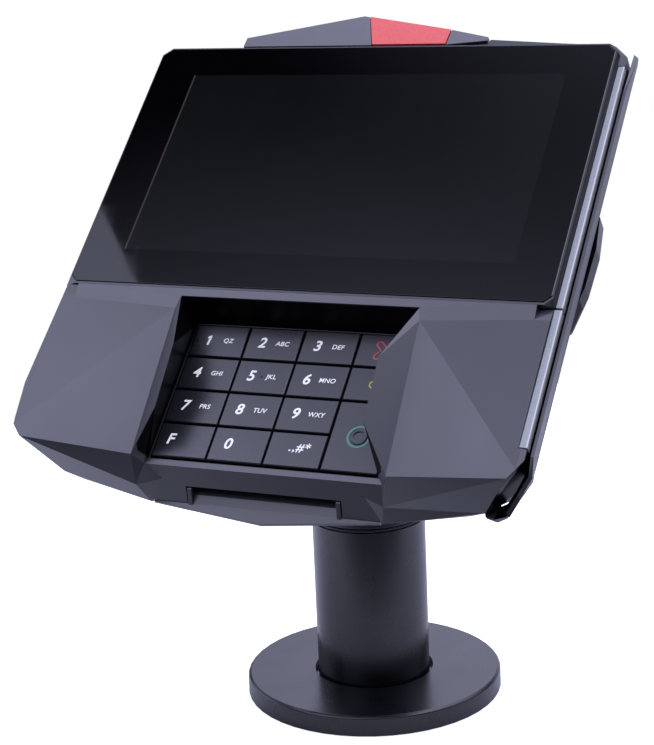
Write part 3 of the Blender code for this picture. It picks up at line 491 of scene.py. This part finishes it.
def cross_outline(reach, half):
    """The outline of a cross with round arm ends."""
    points = []
    for quarter in range(4):
        turn = math.radians(45 + 90 * quarter)
        cosine, sine = math.cos(turn), math.sin(turn)
        for dx, dy in arc(half, -90, 90, 8, (reach, 0)) + [(half, half)]:
            points.append((dx * cosine - dy * sine, dx * sine + dy * cosine))
    return points


LETTERS = {"1": "QZ", "2": "ABC", "3": "DEF", "4": "GHI", "5": "JKL", "6": "MNO", "7": "PRS", "8": "TUV",
           "9": "WXY"}


def make_legends():
    x, y = key_centre(0, 0)
    flag = [(0.25, 2.3), (0.8, 2.3), (0.3, -2.3), (-0.6, -2.3), (-0.25, 1.2), (-1.1, 0.75), (-1.05, 1.5)]
    plate("legend_1", [flag], "key_1", x - 4.6, y + 0.2, KEY_FACE, INK_WHITE)
    for digit, letters in LETTERS.items():
        index = int(digit) - 1
        x, y = key_centre(index % 3, index // 3)
        body = "key_" + digit
        if digit != "1":
            legend("legend_" + digit, digit, 6.7, body, x - 4.9, y + 0.2)
        legend("legend_letters_" + digit, letters, 2.95, body, x + 4.0, y + 0.3, 0.12, 0.012, 1.05)
    x, y = key_centre(1, 3)
    legend("legend_0", "0", 6.7, "key_0", x - 4.7, y + 0.1)
    x, y = key_centre(0, 3)
    legend("legend_function", "F", 6.7, "key_function", x - 5.8, y + 0.2)
    x, y = key_centre(2, 3)
    legend("legend_symbols", ".,#*", 5.2, "key_symbols", x + 1.4, y + 1.0, weight=0.014, spacing=1.15)
    x, y = key_centre(3, 0)
    outline("legend_cancel", cross_outline(4.1, 1.25), 0.6, "key_cancel", x, y, INK_RED)
    x, y = key_centre(3, 1)
    chevron = [(3.0, 4.6), (3.4, 3.5), (0.4, 0.0), (3.4, -3.5), (3.0, -4.6), (1.9, -4.4), (-2.2, -0.6),
               (-2.2, 0.6), (1.9, 4.4)]
    outline("legend_clear", chevron, 0.6, "key_clear", x, y, INK_YELLOW)
    x, y = key_centre(3, 2, 2)
    outline("legend_enter", arc(4.5, 0, 351, 39), 0.95, "key_enter", x, y, INK_GREEN)
    outline("raised_ring_enter", arc(2.9, 0, 348, 29), 1.3, "key_enter", x, y, FINISHES["key_grey"],
            height=0.45)
    x, y = key_centre(1, 1)
    outline("raised_dot_5", arc(0.35, 0, 330, 11), 0.5, "key_5", x - 0.3, y + 0.4, FINISHES["key_grey"],
            height=0.3)


make_legends()


def make_exit_web():
    """A thin black web that closes the inner part of the gap behind the swipe channel's sill."""
    web = [(91.4, -142.2), (96.6, -139.0), (94.9, -136.0), (88.3, -140.0)]
    plate("exit_sill_web", [web], "head", 0, 0, -28.9, FINISHES["case_black"], 0.7)


make_exit_web()


# ---------------------------------------------------------------- back of the head

def bar(x0, x1, y0, y1):
    return [(x0, y0), (x1, y0), (x1, y1), (x0, y1)]


def make_rear_trim():
    """Speaker slots drawn as black strips of painted shade, a blank rating label with ruled lines, and grip
    ribs on the service cover.
    """
    # Painted shade: the speaker slots are black strips laid on the cover, not openings.
    slots = [bar(-9, 9, 3.2 * i, 3.2 * i + 1.3) for i in range(8)]
    plate("speaker_slot_shade_left", slots, "head", -72, 6, -21.5, FINISHES["case_black"], -0.06)
    plate("speaker_slot_shade_right", slots, "head", 72, 6, -21.5, FINISHES["case_black"], -0.06)
    silver = ink("label_silver", (0.42, 0.43, 0.44))
    plate("rating_label", [bar(-26, 26, -9, 9)], "head", 0, -112, -33.4, silver, -0.08)
    rules = [bar(-23, 23, y, y + 0.35) for y in (-6.0, 0.0, 6.0)]
    rules += [bar(-23, -22.65, -6, 6.2), bar(22.65, 23, -6, 6.2)]
    plate("rating_label_rules", rules, "head", 0, -112, -33.48, FINISHES["case_black"], -0.03)
    ribs = [bar(-6 + 2.4 * i, -5 + 2.4 * i, -3, 3) for i in range(6)]
    plate("cover_grip_ribs", ribs, "head", -34, 41, -24.6, FINISHES["case_grey"], -0.35)


make_rear_trim()


# ---------------------------------------------------------------- floor, lights, camera

def make_stage():
    f = Finish("studio_floor")
    haze = f.noise(400.0, detail=2.0)
    across, depth, _ = f.axes(f.place)
    diagonal = f.math("SUBTRACT", depth, f.math("MULTIPLY", across, 0.6))
    pale = f.blend(f.ramp(haze, 0.3, 0.7, 0.0, 1.0), (0.80, 0.80, 0.805), (0.84, 0.84, 0.845))
    f.colour(f.blend(f.ramp(diagonal, -220.0, -135.0, 0.0, 1.0), (0.14, 0.14, 0.14), pale))
    f.roughness(f.ramp(haze, 0.3, 0.7, 0.75, 0.9))
    seen = f.node("ShaderNodeLightPath").outputs["Is Camera Ray"]
    f.shader.inputs["Emission Color"].default_value = (1.0, 1.0, 1.0, 1.0)
    f.feed(f.shader.inputs["Emission Strength"], f.math("MULTIPLY", seen, 0.78))
    bpy.ops.mesh.primitive_circle_add(vertices=96, radius=0.55, fill_type="NGON")
    floor = bpy.context.object
    floor.name = "studio_floor"
    floor.data.materials.append(f.material)


LAMP_TINT = (0.93, 0.95, 1.32)

# Azimuth from the front towards the right, elevation, radiance. Round numbers, close to a larger
# rig that had been fitted to the shading in the photo.
LAMP_HALF_WIDTH = 36      # degrees, with the full strength inside this share of it
LAMP_CORE = 0.22
LAMPS = {
    "key_front_left": (335, 50, 1.6),
    "fill_front_right": (60, 65, 1.4),
    "rim_right": (115, 50, 1.8),
    "rim_left": (210, 45, 1.2),
    "top_rear": (180, 65, 1.2),
    "wall_left": (270, 10, 1.2),
    "wall_rear": (180, 15, 0.6),
    "bounce_rear": (180, -15, 0.5),
    "bounce_left": (250, -15, 0.3),
}


def pointing(azimuth, elevation):
    """The direction at an azimuth from the front towards the right, and an elevation, in radians."""
    flat = math.cos(elevation)
    return math.sin(azimuth) * flat, -math.cos(azimuth) * flat, math.sin(elevation)


def make_world():
    """Dark studio with large soft lamps on its walls. To the camera the studio itself is plain white."""
    world = bpy.data.worlds.new("studio")
    bpy.context.scene.world = world
    world.use_nodes = True
    tree = world.node_tree
    background = tree.nodes["Background"]
    direction = tree.nodes.new("ShaderNodeTexCoord").outputs["Generated"]
    rim = math.cos(math.radians(LAMP_HALF_WIDTH))
    core = math.cos(math.radians(LAMP_HALF_WIDTH * LAMP_CORE))
    total = None
    for azimuth, elevation, radiance in LAMPS.values():
        turn, rise = math.radians(azimuth), math.radians(elevation)
        towards = tree.nodes.new("ShaderNodeVectorMath")
        towards.operation = "DOT_PRODUCT"
        tree.links.new(direction, towards.inputs[0])
        towards.inputs[1].default_value = pointing(turn, rise)
        glow = tree.nodes.new("ShaderNodeMapRange")
        glow.interpolation_type = "SMOOTHSTEP"
        tree.links.new(towards.outputs["Value"], glow.inputs[0])
        for socket, value in zip(glow.inputs[1:5], (rim, core, 0.0, radiance)):
            socket.default_value = value
        if total is None:
            total = glow.outputs[0]
            continue
        both = tree.nodes.new("ShaderNodeMath")
        tree.links.new(total, both.inputs[0])
        tree.links.new(glow.outputs[0], both.inputs[1])
        total = both.outputs[0]
    seen = tree.nodes.new("ShaderNodeLightPath")
    pick = tree.nodes.new("ShaderNodeMix")
    pick.data_type = "FLOAT"
    tree.links.new(seen.outputs["Is Camera Ray"], pick.inputs["Factor"])
    tree.links.new(total, pick.inputs["A"])
    pick.inputs["B"].default_value = 1.0
    tree.links.new(pick.outputs["Result"], background.inputs["Strength"])
    tint = tree.nodes.new("ShaderNodeMix")
    tint.data_type = "RGBA"
    tree.links.new(seen.outputs["Is Camera Ray"], tint.inputs[0])
    tint.inputs[6].default_value, tint.inputs[7].default_value = (*LAMP_TINT, 1.0), (1.0, 1.0, 1.0, 1.0)
    tree.links.new(tint.outputs[2], background.inputs["Color"])


def softbox(name, corner_line, target, size, radiance):
    """An area light given by the middle and direction of its inner edge. It faces target."""
    middle, along = (Vector(v) for v in corner_line)
    along.normalize()
    facing = Vector(target) - middle
    facing = (facing - facing.dot(along) * along).normalized()
    outward = along.cross(facing)
    if outward.dot(Vector((middle.x, middle.y, 0))) < 0:
        outward = -outward
    data = bpy.data.lights.new(name, "AREA")
    data.shape = "RECTANGLE"
    data.size, data.size_y = size
    data.energy = radiance * math.pi * size[0] * size[1]
    data.color = LAMP_TINT
    light = bpy.data.objects.new(name, data)
    bpy.context.scene.collection.objects.link(light)
    z = -facing
    turned = Matrix((along, z.cross(along), z)).transposed().to_4x4()
    light.matrix_world = Matrix.Translation(middle + outward * size[1] / 2) @ turned
    light.visible_camera = False


CAMERA_AZIMUTH, CAMERA_ELEVATION, CAMERA_ROLL = 24.536, 13.848, -2.482    # degrees
CAMERA_PLACE = (0.312665, -0.722499, 0.340139)
CAMERA_LENS, CAMERA_SENSOR = 90.09, 36.0


def make_camera():
    azimuth, elevation, roll = (math.radians(v) for v in (CAMERA_AZIMUTH, CAMERA_ELEVATION, CAMERA_ROLL))
    back = Vector(pointing(azimuth, elevation))
    right = Vector((math.cos(azimuth), math.sin(azimuth), 0.0))
    axes = Matrix((right, back.cross(right), back)).transposed() @ Matrix.Rotation(roll, 3, "Z")
    data = bpy.data.cameras.new("camera")
    data.lens, data.sensor_width, data.sensor_fit = CAMERA_LENS, CAMERA_SENSOR, "AUTO"
    camera = bpy.data.objects.new("camera", data)
    bpy.context.scene.collection.objects.link(camera)
    camera.matrix_world = Matrix.Translation(CAMERA_PLACE) @ axes.to_4x4()
    bpy.context.scene.camera = camera


make_stage()
make_world()
softbox("softbox_left", ((-0.638, -0.35, 1.30), (0.464, -0.886, 0.0)), (0, 0, 0.2), (1.0, 0.36), 1.6)
make_camera()
bpy.context.scene.view_settings.view_transform = "Standard"
